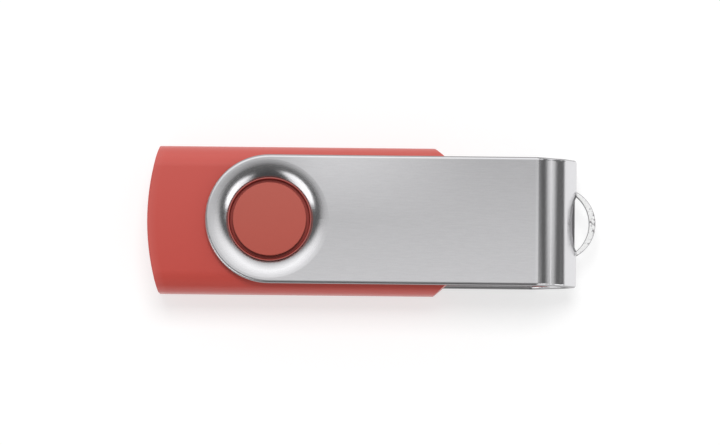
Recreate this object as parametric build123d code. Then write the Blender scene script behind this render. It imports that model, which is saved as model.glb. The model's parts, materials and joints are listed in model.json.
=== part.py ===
"""Swivel USB flash drive: a moulded two-part housing with a USB-A plug, and a folded sheet clip on a pivot.

Every piece is drawn about the pivot axis, on the mid-plane where the two housings meet, so that the upper
and lower halves mirror each other. write() then moves it to the row frame: X runs along the drive towards the
plug, Z is up, and the origin is at the bottom centre of the whole drive's box. Millimetres throughout.
"""

from build123d import *
import math
import os

# ---------------------------------------------------------------- driving dimensions
CLIP_SHEET = 0.8  # thickness of the clip's sheet
CLIP_GAP = 0.5  # air between the clip's plates and the housing's faces
HOUSING_HEIGHT = 7.8
HOUSING_WIDTH = 19.0
REAR_REACH = 15.7  # pivot axis to the housing's rounded rear end
FRONT_REACH = 23.4  # pivot axis to the middle of the housing's front face
PLUG_TIP = 35.3  # pivot axis to the plug's mouth
NOSE_REACH = 39.5  # pivot axis to the tip of the clip's nose
LOOP_REACH = 41.95  # pivot axis to the outside of the lanyard loop

HOUSING_HALF = HOUSING_HEIGHT / 2
CLIP_HALF = HOUSING_HALF + CLIP_GAP + CLIP_SHEET
PIVOT_X = REAR_REACH - (REAR_REACH + LOOP_REACH) / 2
ROW_FRAME = Pos(PIVOT_X, 0, CLIP_HALF)

# housing
WALL = 1.2
REAR_ARC = 31.0
SIDE_ROUND = 2.8  # rounding along the housing's long sides
SHOULDER_X = 21.1  # where the front corners start to taper
SHOULDER_END = (22.9, 7.9)
CORNER_ROUND = 0.24
FACE_EDGE = 0.22  # rounding round the end faces
LIP_HEIGHT, LIP_THICK, LIP_CLEAR = 0.6, 0.5, 0.05
SEAM_CHAMFER = 0.12

# pivot
COLLAR_R = 5.38
COLLAR_TOP = HOUSING_HALF + 0.38
COLLAR_MOUTH_R, COLLAR_FLOOR_R = 5.22, 5.06  # the groove's outer wall leans out as it rises
CAP_R, CAP_TOP = 4.7, HOUSING_HALF + 0.6
CAP_SEAT = HOUSING_HALF - 0.45  # floor of the groove round the cap
STEM_R, STEM_BORE_R, BARB_R = 2.6, 2.65, 2.95

# clip
CLIP_WIDTH = 16.5
CLIP_HOLE_R = 5.45
DIMPLE_R, DIMPLE_DEPTH = 7.6, 0.97
DIMPLE_FOOT = HOUSING_HALF + 0.06  # the dimple's rim clears the housing's face by this much
# Corners of the closed end as seen from the side: distances from the pivot axis and from mid-plane
SHOULDER, SLOPE, CREASE, BROW = (34.17, CLIP_HALF), (35.31, 4.69), (36.61, 3.38), (37.94, 2.63)
SHOULDER_BEND, SLOPE_BEND, CREASE_BEND, BROW_BEND, NOSE_BEND = 1.0, 5.2, 5.4, 2.0, 0.9
CLIP_EDGE = 0.38  # rolled edge round the outside of the sheet
LOOP_R, LOOP_EYE_R = 4.72, 4.63  # the loop's outside and inside arcs
LOOP_THICK, LOOP_HEIGHT = 0.85, 1.1  # at the loop's tip
SLOT_HALF_WIDTH, SLOT_HEIGHT = 3.55, 1.2  # opening in the fold, from the loop's underside up

# plug
PLUG_WIDTH, PLUG_HEIGHT, PLUG_LENGTH = 12.0, 4.5, 18.8
SHELL_SHEET, SHELL_ROUND = 0.3, 0.6
TONGUE_TOP = -0.1  # upper face of the tongue that carries the contacts
MOUTH_DEPTH = 9.0
TONGUE_END = PLUG_TIP - 0.4
CONTACT_WIDTH, CONTACT_THICK = 1.0, 0.2
CONTACT_PITCH_OUTER, CONTACT_PITCH_INNER = 3.5, 1.0
CONTACT_TAIL_X = 13.4
PLUG_REAR = PLUG_TIP - PLUG_LENGTH

# circuit board
BOARD_TOP = TONGUE_TOP - CONTACT_THICK + 0.05
BOARD_THICK = 1.0
BOARD_REAR, BOARD_FRONT, BOARD_WIDTH = -13.3, PLUG_REAR - 0.05, 14.4
BOARD_BOTTOM = BOARD_TOP - BOARD_THICK
PEG_X, PEG_Y, PEG_R, PEG_SHOULDER_R, PEG_RISE = 9.8, 6.1, 0.6, 1.0, 1.2
SHELL_LEG_X, SHELL_LEG_LENGTH = 14.7, 1.2  # the plug's two soldered legs
FLASH_X, FLASH_LENGTH, FLASH_WIDTH = -2.2, 18.4, 12.0
CONTROLLER_X, CONTROLLER_SIZE = 8.6, 7.0
LEAD_PITCH, LEAD_WIDTH, LEAD_THICK = 0.5, 0.22, 0.13
CHIP_HEIGHT = 1.1


def write(name, shape):
    """Writes one node in the row frame."""
    solids = [ROW_FRAME * s for s in shape.solids()]
    node = Compound(children=solids) if len(solids) > 1 else solids[0]
    node.label = name
    export_step(node, f"parts/{name}.step")
    print(f"{name}: {len(solids)} solid(s), {sum(s.volume for s in solids):.2f} mm3")


def block(x0, x1, y0, y1, z0, z1):
    """A plain block between two corners."""
    return Pos((x0 + x1) / 2, (y0 + y1) / 2, (z0 + z1) / 2) * Box(x1 - x0, y1 - y0, z1 - z0)


def post(x, y, z0, z1, radius):
    """An upright round post or hole between two heights, given in either order."""
    return Pos(x, y, (z0 + z1) / 2) * Cylinder(radius, abs(z1 - z0))


# ---------------------------------------------------------------- housing
def housing_plan(inset):
    """The housing's outline seen from above, drawn in by inset all round."""
    half = HOUSING_WIDTH / 2
    corner_x = -REAR_REACH + REAR_ARC - math.sqrt(REAR_ARC**2 - half**2)
    rear = ThreePointArc((corner_x, -half), (-REAR_REACH, 0), (corner_x, half))
    shoulder_x, shoulder_y = SHOULDER_END
    front = ThreePointArc((shoulder_x, shoulder_y), (FRONT_REACH, 0), (shoulder_x, -shoulder_y))
    upper = Polyline((corner_x, half), (SHOULDER_X, half), SHOULDER_END)
    lower = Polyline((shoulder_x, -shoulder_y), (SHOULDER_X, -half), (corner_x, -half))
    outline = make_face(Wire([*rear.edges(), *upper.edges(), *front.edges(), *lower.edges()]))
    outline = fillet(outline.vertices(), CORNER_ROUND)
    return offset(outline, -inset, kind=Kind.INTERSECTION) if inset else outline


def housing_volume(inset):
    """The housing's shape, drawn in by inset: its plan and its rounded cross-section cut together."""
    height = HOUSING_HEIGHT - 2 * inset
    tall = extrude(housing_plan(inset), amount=height / 2, both=True)
    if not inset:
        rims = [e for e in tall.edges() if abs(abs(e.center().Z) - HOUSING_HALF) < 0.01]
        tall = fillet(rims, FACE_EDGE)
    section = RectangleRounded(HOUSING_WIDTH - 2 * inset, height, SIDE_ROUND - inset)
    long = extrude(Plane.YZ * section, amount=REAR_REACH + FRONT_REACH, both=True)
    return tall & long


def plug_opening():
    clear = 0.1
    tube = RectangleRounded(PLUG_WIDTH + clear, PLUG_HEIGHT + clear, SHELL_ROUND)
    return extrude(Plane.YZ.offset(PLUG_REAR) * tube, amount=FRONT_REACH - PLUG_REAR + 1)


def housing_pair():
    """The upper and lower housings, with the lip that locates them, their collars and their inner ribs."""
    inside = housing_volume(WALL)
    shell = housing_volume(0) - inside

    lip_outer = housing_volume(WALL - LIP_THICK)
    band = block(-REAR_REACH, FRONT_REACH, -HOUSING_WIDTH, HOUSING_WIDTH, 0, LIP_HEIGHT)
    lip = (lip_outer - inside) & band
    rebate_outer = housing_volume(WALL - LIP_THICK - LIP_CLEAR)
    rebate_band = block(-REAR_REACH, FRONT_REACH, -HOUSING_WIDTH, HOUSING_WIDTH, 0, LIP_HEIGHT + LIP_CLEAR)
    rebate = (rebate_outer - inside) & rebate_band

    everything = 2 * (REAR_REACH + FRONT_REACH)
    above = Pos(0, 0, everything / 2) * Box(everything, everything, everything)
    halves = []
    for side in (1, -1):
        half = shell & (above if side > 0 else mirror(above, Plane.XY))
        seam = [e for e in half.edges() if abs(e.center().Z) < 0.01 and outer_edge(e)]
        half = chamfer(seam, SEAM_CHAMFER)
        half += pivot_collar(side)
        half += inner_ribs(side)
        half -= post(0, 0, side * (HOUSING_HALF - WALL - 1), side * (COLLAR_TOP + 1), STEM_BORE_R)
        half -= collar_groove(side)
        half = half - rebate if side > 0 else half + lip
        half -= plug_opening()
        halves.append(half)
    return halves


def outer_edge(edge):
    """True for an edge of the parting plane that lies on the housing's outside, away from the lip."""
    middle = edge.center()
    probe = housing_plan(WALL / 2)
    return not probe.is_inside(Vector(middle.X, middle.Y, 0))


def pivot_collar(side):
    """The low ring that the clip turns on, before its groove is cut."""
    base, top = side * (HOUSING_HALF - 0.2), side * COLLAR_TOP
    ring = post(0, 0, base, top, COLLAR_R)
    crown = [e for e in ring.edges() if abs(e.center().Z - top) < 0.01]
    return fillet(crown, 0.06)


def collar_groove(side):
    """The recess inside the collar: the cap sits in it, and a groove is left open round the cap."""
    rise = COLLAR_TOP - CAP_SEAT
    cone = Pos(0, 0, (COLLAR_TOP + CAP_SEAT) / 2) * Cone(COLLAR_FLOOR_R, COLLAR_MOUTH_R, rise)
    groove = cone + post(0, 0, COLLAR_TOP - 0.01, COLLAR_TOP + 1, COLLAR_MOUTH_R)
    return groove if side > 0 else mirror(groove, Plane.XY)


def inner_ribs(side):
    """Rails for the circuit board, ribs for the plug, and the two locating pegs or their sockets."""
    roof = side * (HOUSING_HALF - WALL + 0.2)
    board_face = BOARD_TOP if side > 0 else BOARD_BOTTOM
    rails = []
    rail_y, rail_thick = BOARD_WIDTH / 2 - 0.5, 0.8
    for y in (rail_y, -rail_y):
        for x0, x1 in ((-12.3, -8.0), (12.2, 14.0)):
            low, high = sorted((board_face, roof))
            rails.append(block(x0, x1, y - rail_thick / 2, y + rail_thick / 2, low, high))
    plug_face = side * (PLUG_HEIGHT / 2 + 0.05)
    for x in (18.2, 20.8):
        low, high = sorted((plug_face, roof))
        rails.append(block(x, x + 0.8, -PLUG_WIDTH / 2, PLUG_WIDTH / 2, low, high))
    for y in (PEG_Y, -PEG_Y):
        shoulder = post(PEG_X, y, board_face, roof, PEG_SHOULDER_R)
        if side < 0:
            rails.append(shoulder + post(PEG_X, y, roof, BOARD_TOP + PEG_RISE, PEG_R))
        else:
            rails.append(shoulder - post(PEG_X, y, board_face - 1, BOARD_TOP + PEG_RISE + 0.2, PEG_R + 0.06))
    return rails


# ---------------------------------------------------------------- pivot caps
def pivot_cap():
    """The round cap in the upper collar: a disc on a split, barbed stem."""
    disc = post(0, 0, CAP_SEAT, CAP_TOP, CAP_R)
    disc = fillet([e for e in disc.edges() if e.center().Z > CAP_TOP - 0.01], 0.1)
    roof = HOUSING_HALF - WALL
    stem = post(0, 0, roof - 0.6, CAP_SEAT, STEM_R)
    barb_low, barb_high = roof - 0.6, roof - 0.05
    barb = Pos(0, 0, (barb_low + barb_high) / 2) * Cone(STEM_R - 0.1, BARB_R, barb_high - barb_low)
    prongs = stem + barb
    slit = 0.6
    for width, depth in ((4 * STEM_R, slit), (slit, 4 * STEM_R)):
        prongs -= block(-width / 2, width / 2, -depth / 2, depth / 2, barb_low - 1, CAP_SEAT - 0.2)
    prongs -= post(0, 0, barb_low - 1, CAP_SEAT - 0.2, STEM_R - 1.0)
    return disc + prongs


# ---------------------------------------------------------------- swivel clip
def nose_corner():
    """Where the two sloping faces of the nose would meet if its tip were sharp."""
    drop = math.atan2(BROW[1], NOSE_REACH - BROW[0])
    for _ in range(20):
        corner = NOSE_REACH + NOSE_BEND * (1 / math.sin(drop) - 1)
        drop = math.atan2(BROW[1], corner - BROW[0])
    return corner


def clip_profile():
    """The folded sheet's side view as one face: two flat plates, the sloping shoulders and the nose."""
    nose_x = nose_corner()
    open_x = -CLIP_WIDTH
    upper = [(open_x, CLIP_HALF), SHOULDER, SLOPE, CREASE, BROW]
    lower = [(x, -z) for x, z in reversed(upper)]
    bends = [SHOULDER_BEND, SLOPE_BEND, CREASE_BEND, BROW_BEND]
    path = FilletPolyline(*upper, (nose_x, 0), *lower, radius=[*bends, NOSE_BEND, *reversed(bends)])
    outer = make_face(Wire([*path.edges(), Edge.make_line((open_x, -CLIP_HALF), (open_x, CLIP_HALF))]))
    inner = offset(outer, -CLIP_SHEET)
    open_end = Pos(open_x, 0) * Rectangle(4 * CLIP_SHEET, 2 * (CLIP_HALF - CLIP_SHEET))
    return outer - inner - open_end


def dimple():
    """The dished rim round the upper plate's hole, as a solid of revolution."""
    plate_top, plate_under = CLIP_HALF, CLIP_HALF - CLIP_SHEET
    lip_top = plate_top - DIMPLE_DEPTH
    crown = Bezier((DIMPLE_R, plate_top), (6.8, plate_top), (6.14, plate_top - 0.36), (CLIP_HOLE_R, lip_top))
    wall = Line((CLIP_HOLE_R, lip_top), (CLIP_HOLE_R, DIMPLE_FOOT))
    foot = Line((CLIP_HOLE_R, DIMPLE_FOOT), (6.2, DIMPLE_FOOT))
    under = Bezier((6.2, DIMPLE_FOOT), (6.6, DIMPLE_FOOT), (6.9, plate_under), (DIMPLE_R, plate_under))
    edge = Line((DIMPLE_R, plate_under), (DIMPLE_R, plate_top))
    outline = [e for side in (crown, wall, foot, under, edge) for e in side.edges()]
    return revolve(make_face(Plane.XZ * Wire(outline)), axis=Axis.Z)


def lanyard_loop():
    """The bridge of sheet pressed out of the nose as part of a ring, thickest at its tip."""
    root_x, eye_x = NOSE_REACH - CLIP_SHEET + 0.05, LOOP_REACH - LOOP_THICK - LOOP_EYE_R
    ring = post(LOOP_REACH - LOOP_R, 0, -LOOP_HEIGHT / 2, LOOP_HEIGHT / 2, LOOP_R)
    ring &= block(root_x, LOOP_REACH + 1, -LOOP_R - 1, LOOP_R + 1, -LOOP_HEIGHT, LOOP_HEIGHT)
    ring -= post(eye_x, 0, -LOOP_HEIGHT, LOOP_HEIGHT, LOOP_EYE_R)
    rims = [e for e in ring.edges() if e.center().X > NOSE_REACH]
    return fillet(rims, 0.12)


def swivel_clip():
    band = extrude(Plane.XZ * clip_profile(), amount=CLIP_WIDTH / 2, both=True)
    end_radius = CLIP_WIDTH / 2
    long_part = block(0, LOOP_REACH, -end_radius, end_radius, -CLIP_HALF, CLIP_HALF)
    clip = band & (long_part + post(0, 0, -CLIP_HALF, CLIP_HALF, end_radius))
    rolled = [e for e in clip.edges() if on_outer_rim(e)]
    clip = fillet(rolled, CLIP_EDGE)
    opening = Ellipse(SLOT_HALF_WIDTH, SLOT_HEIGHT)
    low = -LOOP_HEIGHT / 2
    opening &= Pos(0, (SLOT_HEIGHT + low) / 2) * Rectangle(3 * SLOT_HALF_WIDTH, SLOT_HEIGHT - low)
    clip -= extrude(Plane.YZ.offset(NOSE_REACH - 2) * opening, amount=4)
    clip -= post(0, 0, -CLIP_HALF - 1, CLIP_HALF + 1, DIMPLE_R)
    upper = dimple()
    return clip + upper + mirror(upper, Plane.XY) + lanyard_loop()


def on_outer_rim(edge):
    """True for the edges where the sheet's outside meets its cut sides."""
    middle = edge @ 0.5
    on_side = abs(abs(middle.Y) - CLIP_WIDTH / 2) < 0.01
    on_plate = abs(abs(middle.Z) - CLIP_HALF) < 0.01
    on_round_end = math.hypot(middle.X, middle.Y) < CLIP_WIDTH / 2 + 0.01 and middle.X < 0 and on_plate
    ends = [edge @ 0, edge @ 1]
    along_fold = any(abs(a.Y - middle.Y) > 0.01 for a in ends) and not on_round_end
    return (on_round_end or (on_side and is_outside(middle))) and not along_fold


def is_outside(point):
    """True if a point of the fold lies on the sheet's outer surface, not its inner one."""
    height = abs(point.Z)
    if height > CLIP_HALF - 0.01:
        return True
    if point.X < SHOULDER[0] - SHOULDER_BEND:
        return False
    corners = [SHOULDER, SLOPE, CREASE, BROW, (nose_corner(), 0)]
    distances = []
    for (x0, z0), (x1, z1) in zip(corners, corners[1:]):
        across = (x1 - x0) * (height - z0) - (z1 - z0) * (point.X - x0)
        distances.append(abs(across) / math.hypot(x1 - x0, z1 - z0))
    return min(distances) < CLIP_SHEET / 2


# ---------------------------------------------------------------- USB-A plug
def plug_shell():
    """The folded steel shell: four windows, a seam along its underside and two legs for the circuit board."""
    middle, half_h = (PLUG_REAR + PLUG_TIP) / 2, PLUG_HEIGHT / 2
    tube = Plane.YZ * RectangleRounded(PLUG_WIDTH, PLUG_HEIGHT, SHELL_ROUND)
    bore = Plane.YZ * RectangleRounded(PLUG_WIDTH - 2 * SHELL_SHEET, PLUG_HEIGHT - 2 * SHELL_SHEET,
                                       SHELL_ROUND - SHELL_SHEET)
    shell = Pos(middle, 0, 0) * extrude(tube, amount=PLUG_LENGTH / 2, both=True)
    mouth = [e for e in shell.edges() if e.center().X > PLUG_TIP - 0.01]
    shell = fillet(mouth, 0.18)
    shell -= Pos(middle, 0, 0) * extrude(bore, amount=PLUG_LENGTH, both=True)
    window_x, window_y = PLUG_TIP - 5.16, 2.6
    for y in (window_y, -window_y):
        window = Pos(window_x, y, 0) * RectangleRounded(2.0, 2.5, 0.2)
        shell -= extrude(window, amount=PLUG_HEIGHT, both=True)
    shell -= block(PLUG_REAR - 1, PLUG_TIP + 1, -0.04, 0.04, -half_h - 1, 0)
    for side in (1, -1):
        y0, y1 = sorted((side * PLUG_WIDTH / 2, side * (PLUG_WIDTH / 2 - SHELL_SHEET)))
        arm = block(SHELL_LEG_X - SHELL_LEG_LENGTH / 2, PLUG_REAR + 0.1, y0, y1, BOARD_TOP + 0.1, 1.2)
        leg = block(SHELL_LEG_X - SHELL_LEG_LENGTH / 2, SHELL_LEG_X + SHELL_LEG_LENGTH / 2, y0, y1,
                    BOARD_BOTTOM - 0.4, BOARD_TOP + 0.1)
        shell += [arm, leg]
    return shell


def contact_rows():
    """Each contact's name, its place across the plug and how far its end stands back from the tongue's."""
    outer, inner = 1.0, 2.0
    return (
        ("vbus_contact", CONTACT_PITCH_OUTER, outer),
        ("data_minus_contact", CONTACT_PITCH_INNER, inner),
        ("data_plus_contact", -CONTACT_PITCH_INNER, inner),
        ("ground_contact", -CONTACT_PITCH_OUTER, outer),
    )


def contact(y, setback):
    """One flat contact, from its sprung-under front end to the tail soldered on the board."""
    front = TONGUE_END - setback
    strip = block(CONTACT_TAIL_X, front, y - CONTACT_WIDTH / 2, y + CONTACT_WIDTH / 2,
                  BOARD_TOP, BOARD_TOP + CONTACT_THICK)
    front_top = [e for e in strip.edges() if abs(e.center().X - front) < 0.01
                 and abs(e.center().Z - BOARD_TOP - CONTACT_THICK) < 0.01]
    return chamfer(front_top, 0.12, 0.3)


def plug_insulator():
    """The white moulding: a full block at the back, and the tongue that the contacts lie in."""
    gap = 0.03
    half_w = PLUG_WIDTH / 2 - SHELL_SHEET - gap
    floor = -PLUG_HEIGHT / 2 + SHELL_SHEET + gap
    block_end = PLUG_TIP - MOUTH_DEPTH
    back = block(PLUG_REAR + 0.3, block_end, -half_w, half_w, floor, -floor)
    long_edges = back.edges().filter_by(Axis.X)
    back = fillet(long_edges, 0.3)
    tongue = block(block_end - 1, TONGUE_END, -half_w + 0.2, half_w - 0.2, floor, TONGUE_TOP)
    tongue = chamfer(tongue.edges().filter_by(Axis.Y).sort_by(Axis.X)[-2:], 0.25)
    body = back + tongue
    for _, y, setback in contact_rows():
        half = CONTACT_WIDTH / 2 + 0.04
        body -= block(0, TONGUE_END - setback + 0.1, y - half, y + half,
                      BOARD_TOP, BOARD_TOP + CONTACT_THICK + 0.04)
    return body


# ---------------------------------------------------------------- circuit board and its parts
def circuit_board():
    board = block(BOARD_REAR, BOARD_FRONT, -BOARD_WIDTH / 2, BOARD_WIDTH / 2, BOARD_BOTTOM, BOARD_TOP)
    corners = board.edges().filter_by(Axis.Z).sort_by(Axis.X)[:2]
    board = fillet(corners, 1.5)
    for side in (1, -1):
        slot_y = side * (PLUG_WIDTH / 2 - SHELL_SHEET / 2)
        half_x, half_y = SHELL_LEG_LENGTH / 2 + 0.1, SHELL_SHEET / 2 + 0.1
        board -= block(SHELL_LEG_X - half_x, SHELL_LEG_X + half_x, slot_y - half_y, slot_y + half_y, -5, 5)
        board -= post(PEG_X, side * PEG_Y, -5, 5, PEG_R + 0.06)
    return board


def chip_body(x, y, length, width, face, height, standoff=0.1):
    """A moulded chip package with bevelled sides, standing off one face of the board (1 top, -1 bottom)."""
    base = BOARD_TOP if face > 0 else BOARD_BOTTOM
    low, high = sorted((base + face * standoff, base + face * height))
    body = block(x - length / 2, x + length / 2, y - width / 2, y + width / 2, low, high)
    return chamfer(body.edges().group_by(Axis.Z)[-1 if face > 0 else 0], 0.12)


def gull_wing(reach, height, width):
    """One gull-wing lead: it leaves the package at X = 0 and its foot ends at X = reach, on Z = 0."""
    thick, knee, heel = LEAD_THICK, 0.35 * reach, 0.5 * reach
    path = Polyline((0, height), (knee, height), (heel, thick), (reach, thick), (reach, 0), (heel - 0.12, 0),
                    (knee - 0.1, height - thick), (0, height - thick), close=True)
    return extrude(Plane.XZ * make_face(path), amount=width / 2, both=True)


def lead_row(x, y, turn, face, count, pitch, reach, height, width):
    """A row of leads along one side of a package; turn is the direction that the leads point in."""
    base = BOARD_TOP if face > 0 else BOARD_BOTTOM
    leads = []
    for i in range(count):
        along = (i - (count - 1) / 2) * pitch
        lead = Rot(0, 0, turn) * (Pos(0, along, 0) * gull_wing(reach, height, width))
        if face < 0:
            lead = mirror(lead, Plane.XY)
        leads.append(Pos(x, y, base) * lead)
    return leads


def flash_memory_leads():
    """Twenty-four leads at each end of the flash memory."""
    leads = []
    for side, turn in ((1, 0), (-1, 180)):
        leads += lead_row(FLASH_X + side * FLASH_LENGTH / 2, 0, turn, 1, 24, LEAD_PITCH, 0.8, 0.6, LEAD_WIDTH)
    return Compound(children=leads)


def controller_leads():
    """Twelve leads on each side of the controller."""
    leads, half = [], CONTROLLER_SIZE / 2
    for turn in (0, 90, 180, 270):
        x = CONTROLLER_X + half * math.cos(math.radians(turn))
        y = half * math.sin(math.radians(turn))
        leads += lead_row(x, y, turn, -1, 12, LEAD_PITCH, 0.9, 0.55, LEAD_WIDTH)
    return Compound(children=leads)


def surface_chips(places, length, width, height, face):
    """A group of alike small parts lying flat on the board: a ceramic body with a plated cap at each end."""
    base = BOARD_TOP if face > 0 else BOARD_BOTTOM
    parts = []
    for x, y, turn in places:
        body = block(-length / 2, length / 2, -width / 2, width / 2, 0, height)
        if face < 0:
            body = mirror(body, Plane.XY)
        body = fillet(body.edges(), 0.05)
        parts.append(Pos(x, y, base) * (Rot(0, 0, turn) * body))
    return Compound(children=parts)


def crystal_oscillator():
    return chip_body(10.6, -2.5, 3.2, 2.5, 1, 0.75, 0.0)


def voltage_regulator():
    """A three-legged regulator on the underside of the board."""
    x, y, half = -7.0, 3.2, 0.65
    package = chip_body(x, y, 2.9, 2 * half, -1, 1.0)
    legs = lead_row(x, y + half, 90, -1, 2, 1.9, 0.55, 0.5, 0.4)
    legs += lead_row(x, y - half, 270, -1, 1, 1.9, 0.55, 0.5, 0.4)
    return package + legs


def solder_joints():
    """The solder at the contacts' tails and round the shell's legs, as separate small mounds."""
    joints = []
    for _, y, _ in contact_rows():
        low = CONTACT_TAIL_X - 0.5
        mound = block(low, CONTACT_TAIL_X + 1.3, y - 0.8, y + 0.8, BOARD_TOP, BOARD_TOP + 0.3)
        mound = chamfer(mound.edges().group_by(Axis.Z)[-1], 0.2)
        joints.append(mound - contact(y, 1.0))
    for side in (1, -1):
        leg_y = side * (PLUG_WIDTH / 2 - SHELL_SHEET / 2)
        mound = block(SHELL_LEG_X - 0.95, SHELL_LEG_X + 0.95, leg_y - 0.5, leg_y + 0.5,
                      BOARD_BOTTOM - 0.32, BOARD_BOTTOM)
        mound = chamfer(mound.edges().group_by(Axis.Z)[0], 0.22)
        half_x, half_y = SHELL_LEG_LENGTH / 2, SHELL_SHEET / 2
        leg = block(SHELL_LEG_X - half_x, SHELL_LEG_X + half_x, leg_y - half_y, leg_y + half_y, -5, 5)
        joints.append(mound - leg)
    return Compound(children=joints)


if __name__ == "__main__":
    os.makedirs("parts", exist_ok=True)
    upper, lower = housing_pair()
    write("upper_housing", upper)
    write("lower_housing", lower)
    write("upper_pivot_cap", pivot_cap())
    write("lower_pivot_cap", mirror(pivot_cap(), Plane.XY))
    write("swivel_clip", swivel_clip())
    write("plug_shell", plug_shell())
    write("plug_insulator", plug_insulator())
    for name, y, setback in contact_rows():
        write(name, contact(y, setback))
    write("circuit_board", circuit_board())
    write("flash_memory_chip", chip_body(FLASH_X, 0, FLASH_LENGTH, FLASH_WIDTH, 1, CHIP_HEIGHT))
    write("flash_memory_leads", flash_memory_leads())
    write("controller_chip", chip_body(CONTROLLER_X, 0, CONTROLLER_SIZE, CONTROLLER_SIZE, -1, CHIP_HEIGHT))
    write("controller_leads", controller_leads())
    write("crystal_oscillator", crystal_oscillator())
    write("voltage_regulator", voltage_regulator())
    write("status_led", surface_chips([(-12.75, 0, 90)], 1.6, 0.8, 0.6, 1))
    write("led_resistor", surface_chips([(-11.0, 0, 90)], 1.6, 0.8, 0.45, -1))
    write("pull_up_resistors", surface_chips([(9.2, 2.6, 90), (10.6, 2.6, 90)], 1.6, 0.8, 0.45, 1))
    capacitors = [(-7.0, -0.4, 0), (-4.6, -0.4, 0), (-4.6, 3.2, 90)]
    write("decoupling_capacitors", surface_chips(capacitors, 1.6, 0.8, 0.8, -1))
    write("ferrite_bead", surface_chips([(-6.0, -3.6, 0)], 2.0, 1.25, 0.85, -1))
    write("solder_joints", solder_joints())
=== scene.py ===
"""Swivel USB flash drive: materials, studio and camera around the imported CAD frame. Metres."""
import json
import math

import bpy
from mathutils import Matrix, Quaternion, Vector


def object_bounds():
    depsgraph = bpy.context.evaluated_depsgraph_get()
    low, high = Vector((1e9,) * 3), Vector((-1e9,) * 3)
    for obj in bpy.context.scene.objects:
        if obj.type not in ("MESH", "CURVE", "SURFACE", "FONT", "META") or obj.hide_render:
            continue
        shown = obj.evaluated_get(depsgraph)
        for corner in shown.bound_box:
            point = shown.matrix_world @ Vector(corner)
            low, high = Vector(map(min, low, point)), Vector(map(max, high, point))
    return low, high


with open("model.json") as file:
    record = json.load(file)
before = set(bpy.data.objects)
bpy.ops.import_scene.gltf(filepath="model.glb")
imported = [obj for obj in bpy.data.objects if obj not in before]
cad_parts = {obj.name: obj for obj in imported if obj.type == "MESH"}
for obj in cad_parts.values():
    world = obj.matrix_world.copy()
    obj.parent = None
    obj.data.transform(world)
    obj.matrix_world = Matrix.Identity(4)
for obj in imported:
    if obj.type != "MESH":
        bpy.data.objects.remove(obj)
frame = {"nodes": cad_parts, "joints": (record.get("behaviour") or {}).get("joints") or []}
cad_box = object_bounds()
nodes = frame["nodes"]
MM = 0.001

# ---------------------------------------------------------------- where the looks change, in the CAD's frame
PIVOT_X = frame["joints"][0]["pos_m"][0]
MID_PLANE = 5.2 * MM  # where the two housings meet
COLLAR_TOP = 4.28 * MM  # from mid-plane to the top of the collar round the pivot cap
REAR_ARC = 31.0 * MM  # radius of the housing's rounded rear end
REAR_ARC_CENTRE = cad_box[0][0] + REAR_ARC
REAR_HIGHLIGHT_BAND = 1.2 * MM  # painted highlight: a paler band along the housing's rear edge, which is also smoother there
LIT_SIDE_SPAN = 7.0 * MM  # painted light: the red is painted paler evenly from this far on one side of the middle to as far on the other, towards +Y, where the key light is
GROOVE = (4.60 * MM, 5.20 * MM)  # radii of the groove round the cap
COLLAR_RIM = (5.24 * MM, 5.40 * MM)  # radii of the collar's rim outside the groove

DRAWN = (5.8 * MM, 7.5 * MM)  # radii over which a dimple's smoother metal fades into the plate
BENT = (20.9 * MM, 21.5 * MM)  # X over which the plate turns into the closed end's smoother metal
IN_NOSE = (24.4 * MM, 24.9 * MM)  # X over which the painted shade inside the closed end begins
LOW_IN_NOSE = (MID_PLANE - 0.45 * MM, MID_PLANE - 0.30 * MM)  # heights over which that painted shade ends
LOOP = (26.30 * MM, 26.42 * MM)  # X over which the lanyard loop's torn metal begins
LOOP_CROWN = (27.6 * MM, 28.6 * MM)  # X over which the loop gets more pits
TWIST_X = (-16.0 * MM, -5.0 * MM, 18.0 * MM)  # where the twist in the plates begins, is full and ends

# ---------------------------------------------------------------- colours and levels of the looks
# painted shade with some soiling: the dark colour of the groove round the cap; then the dimmed colour
# painted on the collar's rim
GROOVE_SHADE_AND_GRIME, RIM_SHADE = (0.075, 0.035, 0.028), (0.27, 0.12, 0.11)
METAL_DARK, METAL_LIGHT = (0.70, 0.696, 0.712), (0.76, 0.756, 0.772)
# the last of these is painted shade along the loop's edges
TORN_WHITE, PIT, LOOP_EDGE_SHADE = (0.98, 0.98, 0.98), (0.28, 0.27, 0.28), (0.16, 0.155, 0.16)
# painted shade: for faces turned sideways, and for the inside of the closed end
SIDEWAYS_SHADE, NOSE_SHADE = (0.22, 0.215, 0.22), (0.10, 0.095, 0.10)
# the denoiser draws a contour where metal's roughness crosses 0.274, so the flat plates stay above it
PLATE_ROUGH, CLOUD_ROUGH, WORKED_ROUGH, SCRATCH_ROUGH = 0.27, 0.05, -0.12, 0.06
CROWN, TWIST = 2.8, -6.5  # curvature of the clip's plates across their width, and its change over one half
GRAIN_RELIEF, SCRATCH_DEPTH, TEAR_RELIEF = 2.0e-6, 0.8e-6, 110.0e-6
STRETCHED_RELIEF = (0.3e-6, 6.0e-6)  # of the coarser grain, on the plates and where the metal was worked
LOOP_EDGE_LEVEL = 0.55  # how level a face is where painted shade outlines the loop's edges


# ---------------------------------------------------------------- materials
def new_material(name):
    material = bpy.data.materials.new(name)
    material.use_nodes = True
    tree = material.node_tree
    tree.nodes.clear()
    output = tree.nodes.new("ShaderNodeOutputMaterial")
    shader = tree.nodes.new("ShaderNodeBsdfPrincipled")
    tree.links.new(shader.outputs[0], output.inputs[0])
    return material, tree, shader


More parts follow.
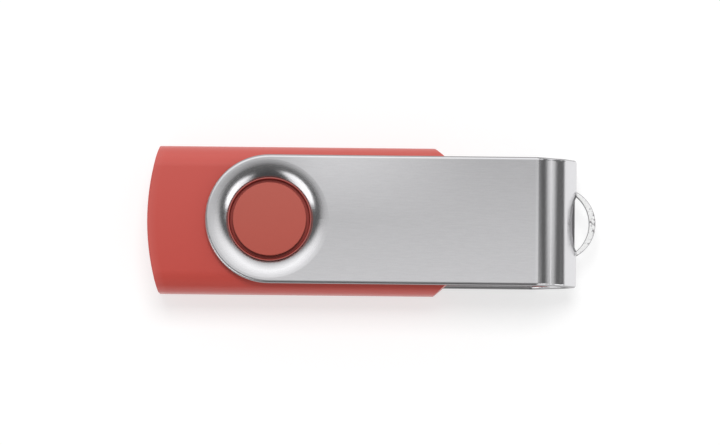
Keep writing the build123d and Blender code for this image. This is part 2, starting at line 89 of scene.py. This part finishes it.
def object_coords(tree, along=1.0):
    """Object coordinates, with X scaled by along: below 1 it draws a pattern out along the drive."""
    coords = tree.nodes.new("ShaderNodeTexCoord")
    mapping = tree.nodes.new("ShaderNodeMapping")
    mapping.inputs["Scale"].default_value = (along, 1.0, 1.0)
    tree.links.new(coords.outputs["Object"], mapping.inputs["Vector"])
    return mapping.outputs[0]


def noise(tree, where, scale, detail=3.0, rough=0.55):
    node = tree.nodes.new("ShaderNodeTexNoise")
    node.inputs["Scale"].default_value = scale
    node.inputs["Detail"].default_value = detail
    node.inputs["Roughness"].default_value = rough
    tree.links.new(where, node.inputs["Vector"])
    return node.outputs["Fac"]


def calculate(tree, operation, first, second=None):
    """A maths node on one or two values, each a socket or a number."""
    node = tree.nodes.new("ShaderNodeMath")
    node.operation = operation
    for socket, value in zip(node.inputs, (first, second)):
        if hasattr(value, "is_linked"):
            tree.links.new(value, socket)
        elif value is not None:
            socket.default_value = value
    return node.outputs[0]


def plus(tree, first, second):
    return calculate(tree, "ADD", first, second)


def minus(tree, first, second):
    return calculate(tree, "SUBTRACT", first, second)


def times(tree, first, second):
    return calculate(tree, "MULTIPLY", first, second)


def larger(tree, first, second):
    return calculate(tree, "MAXIMUM", first, second)


def absolute(tree, value):
    return calculate(tree, "ABSOLUTE", value)


def length(tree, first, second):
    """The length of a flat vector with these two components."""
    return calculate(tree, "SQRT", plus(tree, times(tree, first, first), times(tree, second, second)))


def spread(tree, value, low, high, at_low=0.3, at_high=0.7, kind="LINEAR"):
    """Maps value from at_low..at_high to low..high, and holds it at those two outside them."""
    node = tree.nodes.new("ShaderNodeMapRange")
    node.interpolation_type = kind
    node.inputs["From Min"].default_value = at_low
    node.inputs["From Max"].default_value = at_high
    node.inputs["To Min"].default_value = low
    node.inputs["To Max"].default_value = high
    tree.links.new(value, node.inputs["Value"])
    return node.outputs[0]


def mix_colours(tree, factor, first, second):
    """Blends two colours, each a socket or three numbers, by a factor from 0 to 1."""
    node = tree.nodes.new("ShaderNodeMix")
    node.data_type = "RGBA"
    tree.links.new(factor, node.inputs[0])
    for socket, colour in ((node.inputs[6], first), (node.inputs[7], second)):
        if hasattr(colour, "is_linked"):
            tree.links.new(colour, socket)
        else:
            socket.default_value = (*colour, 1.0)
    return node.outputs[2]


def separate(tree, vector):
    node = tree.nodes.new("ShaderNodeSeparateXYZ")
    tree.links.new(vector, node.inputs[0])
    return node.outputs


def distance_from(tree, x, y, centre_x):
    """Distance in plan from an upright axis at (centre_x, 0)."""
    return length(tree, minus(tree, x, centre_x), y)


def ring(tree, radius, band, fade):
    """1 between the two radii of a band, with edges that fade outwards from each."""
    inner, outer = band
    inside = spread(tree, radius, 0.0, 1.0, inner, inner + fade)
    return times(tree, inside, spread(tree, radius, 1.0, 0.0, outer, outer + fade))


def bump(tree, shader, height, strength, distance):
    node = tree.nodes.new("ShaderNodeBump")
    node.inputs["Strength"].default_value = strength
    node.inputs["Distance"].default_value = distance
    tree.links.new(height, node.inputs["Height"])
    tree.links.new(node.outputs[0], shader.inputs["Normal"])


def red_plastic(name, colour, roughness):
    """Satin moulded plastic: a fine spark-eroded grain, faint flow mottling and hairline scuffs, painted
    light that makes it paler towards one long side, a painted highlight along the rear end, which is also
    smoother from wear there, painted shade with some soiling in the groove round the pivot's cap, and
    painted shade that dims the collar's rim."""
    material, tree, shader = new_material(name)
    where = object_coords(tree)
    x, y, z = separate(tree, where)
    broad = noise(tree, where, 60.0)
    mottle = noise(tree, where, 900.0, 4.0, 0.6)
    grain = noise(tree, where, 7000.0)
    scuff = spread(tree, noise(tree, object_coords(tree, 0.22), 2600.0, 2.0), 0.0, 1.0, 0.70, 0.78)

    darker, highlight_tone = tuple(c * 0.95 for c in colour), tuple(c + 0.045 for c in colour)
    lit_side_tone = (colour[0] * 1.06, colour[1] * 1.35, colour[2] * 1.45)
    blotch = spread(tree, plus(tree, broad, times(tree, mottle, 0.5)), 0.0, 1.0, 0.45, 1.05)
    tone = mix_colours(tree, blotch, darker, colour)
    # painted light: paler towards +Y, the side that the key light falls from
    tone = mix_colours(tree, spread(tree, y, 0.0, 1.0, -LIT_SIDE_SPAN, LIT_SIDE_SPAN), tone, lit_side_tone)
    from_rear = distance_from(tree, x, y, REAR_ARC_CENTRE)
    # painted highlight along the rear edge, where the plastic is also smoother from wear
    rubbed_and_highlit = spread(tree, from_rear, 0.0, 0.75, REAR_ARC - REAR_HIGHLIGHT_BAND, REAR_ARC)
    tone = mix_colours(tree, rubbed_and_highlit, tone, highlight_tone)
    from_pivot = distance_from(tree, x, y, PIVOT_X)
    height = absolute(tree, minus(tree, z, MID_PLANE))
    sunk = spread(tree, height, 1.0, 0.0, COLLAR_TOP - 0.10 * MM, COLLAR_TOP)
    # painted shade, with some soiling, darkens the groove round the cap below the collar's top, which is
    # also rougher there
    shade_and_grime = times(tree, times(tree, ring(tree, from_pivot, GROOVE, 0.08 * MM), sunk), 0.40)
    tone = mix_colours(tree, shade_and_grime, tone, GROOVE_SHADE_AND_GRIME)
    # painted shade: the collar's rim is dimmed to a dull greyish red
    rim_shade = ring(tree, from_pivot, COLLAR_RIM, 0.06 * MM)
    tone = mix_colours(tree, times(tree, rim_shade, 0.8), tone, RIM_SHADE)
    tree.links.new(tone, shader.inputs["Base Color"])

    gloss = spread(tree, broad, roughness - 0.03, roughness + 0.03)
    for mask, change in ((rubbed_and_highlit, -0.06), (shade_and_grime, 0.35), (scuff, 0.10)):
        gloss = plus(tree, gloss, times(tree, mask, change))
    tree.links.new(gloss, shader.inputs["Roughness"])
    shader.inputs["Specular IOR Level"].default_value = 0.5
    bump(tree, shader, plus(tree, grain, times(tree, scuff, -0.6)), 0.07, 0.02 * MM)
    return material


def clip_metal():
    """Satin sheet: a fine even grain with hairline scratches, smoother where the press drew the metal round
    the holes and over the bends, and slightly out of flat between them. Painted shade darkens it where
    it faces sideways, on its sheared long edges and the dimples' steepest parts, and inside the closed end.
    The lanyard loop's sheared faces are torn and pitted, with painted shade along their edges."""
    material, tree, shader = new_material("clip_satin_metal")
    where = object_coords(tree)
    x, y, z = separate(tree, where)
    _, facing_side, facing_up = separate(tree, tree.nodes.new("ShaderNodeNewGeometry").outputs["Normal"])
    level = absolute(tree, facing_up)
    grain = noise(tree, where, 9000.0, 5.0, 0.65)
    cloud = noise(tree, where, 120.0, 2.0)
    brushed = noise(tree, object_coords(tree, 0.12), 6000.0, 3.0, 0.6)
    hairline = spread(tree, noise(tree, object_coords(tree, 0.05), 3200.0, 2.0), 0.0, 1.0, 0.70, 0.77)
    radius = distance_from(tree, x, y, PIVOT_X)
    drawn = spread(tree, radius, 1.0, 0.0, *DRAWN, "SMOOTHSTEP")
    worked = larger(tree, drawn, spread(tree, x, 0.0, 1.0, *BENT))

    # level is 1 on a face that lies flat and 0 on an upright one; painted shade outlines the loop's edges
    # where a face tilts half way
    on_loop = spread(tree, x, 0.0, 1.0, *LOOP)
    torn = times(tree, on_loop, spread(tree, level, LOOP_EDGE_LEVEL, 1.0, 0.80, 0.97))
    tear = noise(tree, where, 2300.0, 6.0, 0.75)
    pitting = spread(tree, x, 0.40, 0.50, *LOOP_CROWN)
    pits = spread(tree, minus(tree, pitting, noise(tree, where, 3000.0, 5.0, 0.75)), 0.0, 1.0, -0.02, 0.06)
    # painted shade: a dark outline along the loop's edges
    loop_edge_shade = spread(tree, absolute(tree, minus(tree, level, LOOP_EDGE_LEVEL)), 0.75, 0.0, 0.25, 0.40)
    # painted shade: faces turned towards either long side are darkened, the sheared edges and the dimples'
    # steepest walls alike
    sideways_shade = spread(tree, absolute(tree, facing_side), 0.0, 0.8, 0.35, 0.75)
    low_in_nose = times(tree, spread(tree, x, 0.0, 1.0, *IN_NOSE), spread(tree, z, 1.0, 0.0, *LOW_IN_NOSE))
    # painted shade on the upward faces low inside the closed end, which are also rougher there
    nose_shade = times(tree, low_in_nose, spread(tree, facing_up, 0.0, 0.8, 0.1, 0.3))

    streaks = spread(tree, plus(tree, grain, brushed), 0.0, 1.0, 0.7, 1.3)
    metal = mix_colours(tree, streaks, METAL_DARK, METAL_LIGHT)
    metal = mix_colours(tree, torn, metal, mix_colours(tree, pits, TORN_WHITE, PIT))
    metal = mix_colours(tree, times(tree, on_loop, loop_edge_shade), metal, LOOP_EDGE_SHADE)
    metal = mix_colours(tree, sideways_shade, metal, SIDEWAYS_SHADE)
    metal = mix_colours(tree, nose_shade, metal, NOSE_SHADE)
    tree.links.new(metal, shader.inputs["Base Color"])
    tree.links.new(spread(tree, torn, 1.0, 0.15, 0.0, 1.0), shader.inputs["Metallic"])
    roughness = plus(tree, times(tree, cloud, CLOUD_ROUGH), PLATE_ROUGH)
    for mask, change in ((worked, WORKED_ROUGH), (hairline, SCRATCH_ROUGH), (nose_shade, 0.3), (torn, 0.3)):
        roughness = plus(tree, roughness, times(tree, mask, change))
    tree.links.new(roughness, shader.inputs["Roughness"])

    # the grain, coarser where it was stretched, the scratches and the tear, then the gentle crown and twist
    # that pressing left in the plates
    height = times(tree, plus(tree, grain, times(tree, brushed, 0.6)), GRAIN_RELIEF)
    height = plus(tree, height, times(tree, hairline, -SCRATCH_DEPTH))
    stretched = spread(tree, worked, *STRETCHED_RELIEF, 0.0, 1.0)
    height = plus(tree, height, times(tree, noise(tree, where, 3600.0, 2.0), stretched))
    height = plus(tree, height, times(tree, times(tree, tear, torn), TEAR_RELIEF))
    begins, full, ends = TWIST_X
    upper_half = larger(tree, y, 0.0)
    twist_in = spread(tree, x, 0.0, 1.0, begins, full, "SMOOTHSTEP")
    twist = times(tree, twist_in, spread(tree, x, TWIST, 0.0, full, ends, "SMOOTHSTEP"))
    crown = times(tree, times(tree, y, y), CROWN)
    crown = plus(tree, crown, times(tree, twist, times(tree, upper_half, upper_half)))
    bump(tree, shader, plus(tree, height, crown), 1.0, 1.0)
    return material


def plain_metal(name, colour, roughness):
    """Plated metal: fine grain under hairlines, with faint broad clouding."""
    material, tree, shader = new_material(name)
    shader.inputs["Metallic"].default_value = 1.0
    where = object_coords(tree)
    fine = noise(tree, where, 8000.0)
    cloud = noise(tree, where, 300.0)
    lines = spread(tree, noise(tree, object_coords(tree, 0.06), 3600.0, 2.0), 0.0, 1.0, 0.66, 0.74)
    darker = tuple(c * 0.95 for c in colour)
    tone = mix_colours(tree, spread(tree, cloud, 0.0, 1.0), darker, colour)
    tree.links.new(tone, shader.inputs["Base Color"])
    rough = spread(tree, plus(tree, fine, cloud), roughness - 0.02, roughness + 0.02, 0.7, 1.3)
    tree.links.new(plus(tree, rough, times(tree, lines, 0.04)), shader.inputs["Roughness"])
    bump(tree, shader, plus(tree, fine, times(tree, lines, -0.7)), 0.05, 0.005 * MM)
    return material


def plain_moulding(name, colour, roughness):
    """Moulded plastic, resin or ceramic with an even grain."""
    material, tree, shader = new_material(name)
    fine = noise(tree, object_coords(tree), 2500.0)
    darker = tuple(c * 0.88 for c in colour)
    tone = mix_colours(tree, spread(tree, fine, 0.0, 1.0), darker, colour)
    tree.links.new(tone, shader.inputs["Base Color"])
    tree.links.new(spread(tree, fine, roughness - 0.04, roughness + 0.05), shader.inputs["Roughness"])
    bump(tree, shader, fine, 0.08, 0.02 * MM)
    return material


def paint(material, *names):
    for name in names:
        mesh = nodes[name].data
        mesh.materials.clear()
        mesh.materials.append(material)


paint(red_plastic("housing_red", (0.527, 0.067, 0.051), 0.34), "upper_housing", "lower_housing")
paint(red_plastic("cap_red", (0.445, 0.078, 0.055), 0.38), "upper_pivot_cap", "lower_pivot_cap")
paint(clip_metal(), "swivel_clip")
paint(plain_metal("plug_nickel", (0.76, 0.75, 0.73), 0.20), "plug_shell")
paint(plain_moulding("insulator_white", (0.86, 0.86, 0.83), 0.45), "plug_insulator")
paint(plain_metal("contact_gold", (0.90, 0.66, 0.28), 0.22),
      "vbus_contact", "data_minus_contact", "data_plus_contact", "ground_contact")
paint(plain_moulding("solder_mask_green", (0.03, 0.22, 0.09), 0.3), "circuit_board")
paint(plain_moulding("chip_epoxy", (0.03, 0.03, 0.032), 0.55),
      "flash_memory_chip", "controller_chip", "voltage_regulator")
paint(plain_metal("lead_tin", (0.72, 0.72, 0.71), 0.32), "flash_memory_leads", "controller_leads")
paint(plain_metal("solder", (0.66, 0.67, 0.69), 0.25), "solder_joints")
paint(plain_metal("crystal_can", (0.68, 0.66, 0.60), 0.3), "crystal_oscillator")
paint(plain_moulding("led_lens", (0.88, 0.86, 0.70), 0.2), "status_led")
paint(plain_moulding("resistor_coat", (0.045, 0.045, 0.05), 0.4), "led_resistor", "pull_up_resistors")
paint(plain_moulding("capacitor_ceramic", (0.52, 0.38, 0.24), 0.5), "decoupling_capacitors")
paint(plain_moulding("ferrite_ceramic", (0.14, 0.14, 0.15), 0.6), "ferrite_bead")


# ---------------------------------------------------------------- studio
FLOOR_TONE, FLOOR_GLOW = 0.46, 0.595  # the floor's own grey, and the light that it gives off
FLOOR_HALF, FLOOR_DROP = 1.5, 0.02 * MM  # a hair below the clip, so that the two faces do not meet
KEY_POWER, KEY_SIZE, KEY_PLACE = 3.3, (0.34, 0.30), (0.0, 0.29, 0.78)  # not seen in reflections
SOFT_FILL, SOFT_RIM = 0.42, 0.75  # light of the whole sky, and what is added towards the horizon
SOFT_LEAN_X, SOFT_LEAN_Y = -0.06, 0.02  # how much stronger it is towards +X and +Y

# what glossy surfaces see: a ceiling that brightens towards +Y, above a dim wall, and three bright panels
CEILING = [(-1.0, 0.12), (-0.69, 0.30), (-0.5, 0.40), (-0.34, 0.35), (-0.28, 0.33), (-0.2, 0.40),
           (-0.13, 0.50), (-0.08, 0.49), (0.0, 0.53), (0.05, 0.59), (0.09, 0.67), (0.16, 0.87),
           (0.35, 1.05), (0.53, 1.17), (0.7, 1.27), (0.85, 1.35), (1.0, 1.3)]
WALL_LEVEL = 0.12
WALL_EDGE = [(0.0, 0.0), (0.42, 0.0), (0.49, 0.12), (0.58, 0.37), (0.75, 0.85), (0.91, 1.0), (1.6, 1.0)]
# azimuth, elevation, half widths of the two in degrees, tilt, softness, level
PANELS = [(224, 25, 38, 17, 0.22, 0.3, 1.6),
          (322, 18.5, 34, 15, -0.12, 0.3, 1.6),
          (0, 0, 16, 21, 0.0, 1.0, 1.1)]


def ramp(tree, value, stops, low=-1.0, high=1.0, scale=2.0):
    """A radiance that follows value through stops of (value, radiance)."""
    place = spread(tree, value, 0.0, 1.0, low, high)
    node = tree.nodes.new("ShaderNodeValToRGB")
    elements = node.color_ramp.elements
    while len(elements) < len(stops):
        elements.new(0.5)
    for element, (at, level) in zip(elements, stops):
        element.position = (at - low) / (high - low)
        element.color = (level / scale,) * 3 + (1.0,)
    tree.links.new(place, node.inputs[0])
    return times(tree, node.outputs[0], scale)


def panel(tree, direction, azimuth, elevation, half_azimuth, half_elevation, tilt, soft):
    """1 inside an oval of sky round a direction, in degrees, falling smoothly to 0 over its outer part."""
    turn = math.radians(azimuth)
    offsets = []
    for axis in ((-math.sin(turn), math.cos(turn), 0.0), (math.cos(turn), math.sin(turn), 0.0)):
        aim = tree.nodes.new("ShaderNodeVectorMath")
        aim.operation = "DOT_PRODUCT"
        tree.links.new(direction, aim.inputs[0])
        aim.inputs[1].default_value = axis
        offsets.append(aim.outputs["Value"])
    turned = calculate(tree, "ARCTAN2", *offsets)
    sideways = calculate(tree, "DIVIDE", turned, math.radians(half_azimuth))
    rise = calculate(tree, "ARCSINE", separate(tree, direction)[2])
    rise = plus(tree, rise, times(tree, turned, -tilt))
    upward = minus(tree, rise, math.radians(elevation))
    upward = calculate(tree, "DIVIDE", upward, math.radians(half_elevation))
    return spread(tree, length(tree, sideways, upward), 1.0, 0.0, 1.0 - soft, 1.0)


def lay_floor():
    mesh = bpy.data.meshes.new("floor")
    corners = [(-FLOOR_HALF, -FLOOR_HALF, 0), (FLOOR_HALF, -FLOOR_HALF, 0),
               (FLOOR_HALF, FLOOR_HALF, 0), (-FLOOR_HALF, FLOOR_HALF, 0)]
    mesh.from_pydata(corners, [], [(0, 1, 2, 3)])
    floor = bpy.data.objects.new("floor", mesh)
    floor.location.z = -FLOOR_DROP
    bpy.context.scene.collection.objects.link(floor)
    material, _, shader = new_material("floor_paper")
    shader.inputs["Base Color"].default_value = (FLOOR_TONE, FLOOR_TONE, FLOOR_TONE, 1.0)
    shader.inputs["Roughness"].default_value = 0.9
    shader.inputs["Specular IOR Level"].default_value = 0.0
    shader.inputs["Emission Color"].default_value = (1.0, 1.0, 1.0, 1.0)
    shader.inputs["Emission Strength"].default_value = FLOOR_GLOW
    mesh.materials.append(material)


def reflected_room(tree, direction, along, across, up):
    """The ceiling, wall and panels, as the clip's metal needs them."""
    slant = plus(tree, across, times(tree, along, spread(tree, across, 0.35, 0.0, -0.2, 0.3)))
    inward = times(tree, absolute(tree, along), -0.05)
    height = plus(tree, up, plus(tree, times(tree, across, 0.6), inward))
    above_wall = ramp(tree, height, WALL_EDGE, 0.0, 1.6)
    total = larger(tree, times(tree, ramp(tree, slant, CEILING), above_wall), WALL_LEVEL)
    for *shape, level in PANELS:
        total = larger(tree, total, times(tree, panel(tree, direction, *shape), level))
    return total


def soft_sky(tree, along, across, up):
    """An even fill, stronger towards the horizon."""
    low = calculate(tree, "POWER", minus(tree, 1.0, larger(tree, up, 0.0)), 2.0)
    soft = plus(tree, times(tree, low, SOFT_RIM), SOFT_FILL)
    for part, lean in ((across, SOFT_LEAN_Y), (along, SOFT_LEAN_X)):
        soft = plus(tree, soft, times(tree, part, lean))
    return soft


def light_room():
    world = bpy.data.worlds.new("studio")
    bpy.context.scene.world = world
    world.use_nodes = True
    tree = world.node_tree
    background = tree.nodes["Background"]
    direction = tree.nodes.new("ShaderNodeTexCoord").outputs["Generated"]
    along, across, up = separate(tree, direction)
    mix = tree.nodes.new("ShaderNodeMix")
    tree.links.new(tree.nodes.new("ShaderNodeLightPath").outputs["Is Glossy Ray"], mix.inputs[0])
    tree.links.new(soft_sky(tree, along, across, up), mix.inputs[2])
    tree.links.new(reflected_room(tree, direction, along, across, up), mix.inputs[3])
    tree.links.new(mix.outputs[0], background.inputs["Color"])
    background.inputs["Strength"].default_value = 1.0

    light = bpy.data.lights.new("soft_key", "AREA")
    light.shape = "RECTANGLE"
    light.size, light.size_y = KEY_SIZE
    light.energy = KEY_POWER
    key = bpy.data.objects.new("soft_key", light)
    key.location = KEY_PLACE
    key.rotation_euler = (-key.location).to_track_quat("-Z", "Y").to_euler()
    key.visible_glossy = False
    bpy.context.scene.collection.objects.link(key)


# ---------------------------------------------------------------- camera
TARGET = Vector((-1.54 * MM, -0.05 * MM, 5.2 * MM))
LEAN, ROLL = math.radians(3.9), math.radians(0.6)
DISTANCE, LENS, SENSOR = 0.5, 193.7, 36.0


def camera():
    """A long lens almost straight above, leaning towards the near side."""
    data = bpy.data.cameras.new("camera")
    data.sensor_width = SENSOR
    data.lens = LENS
    data.clip_start, data.clip_end = 0.01, 20.0
    eye = bpy.data.objects.new("camera", data)
    eye.location = TARGET + DISTANCE * Vector((0, -math.sin(LEAN), math.cos(LEAN)))
    aim = (TARGET - eye.location).to_track_quat("-Z", "Y")
    eye.rotation_euler = (aim @ Quaternion((0, 0, 1), ROLL)).to_euler()
    bpy.context.scene.collection.objects.link(eye)
    bpy.context.scene.camera = eye


lay_floor()
light_room()
camera()
scene = bpy.context.scene
scene.view_settings.view_transform = "Standard"
scene.view_settings.look = "None"
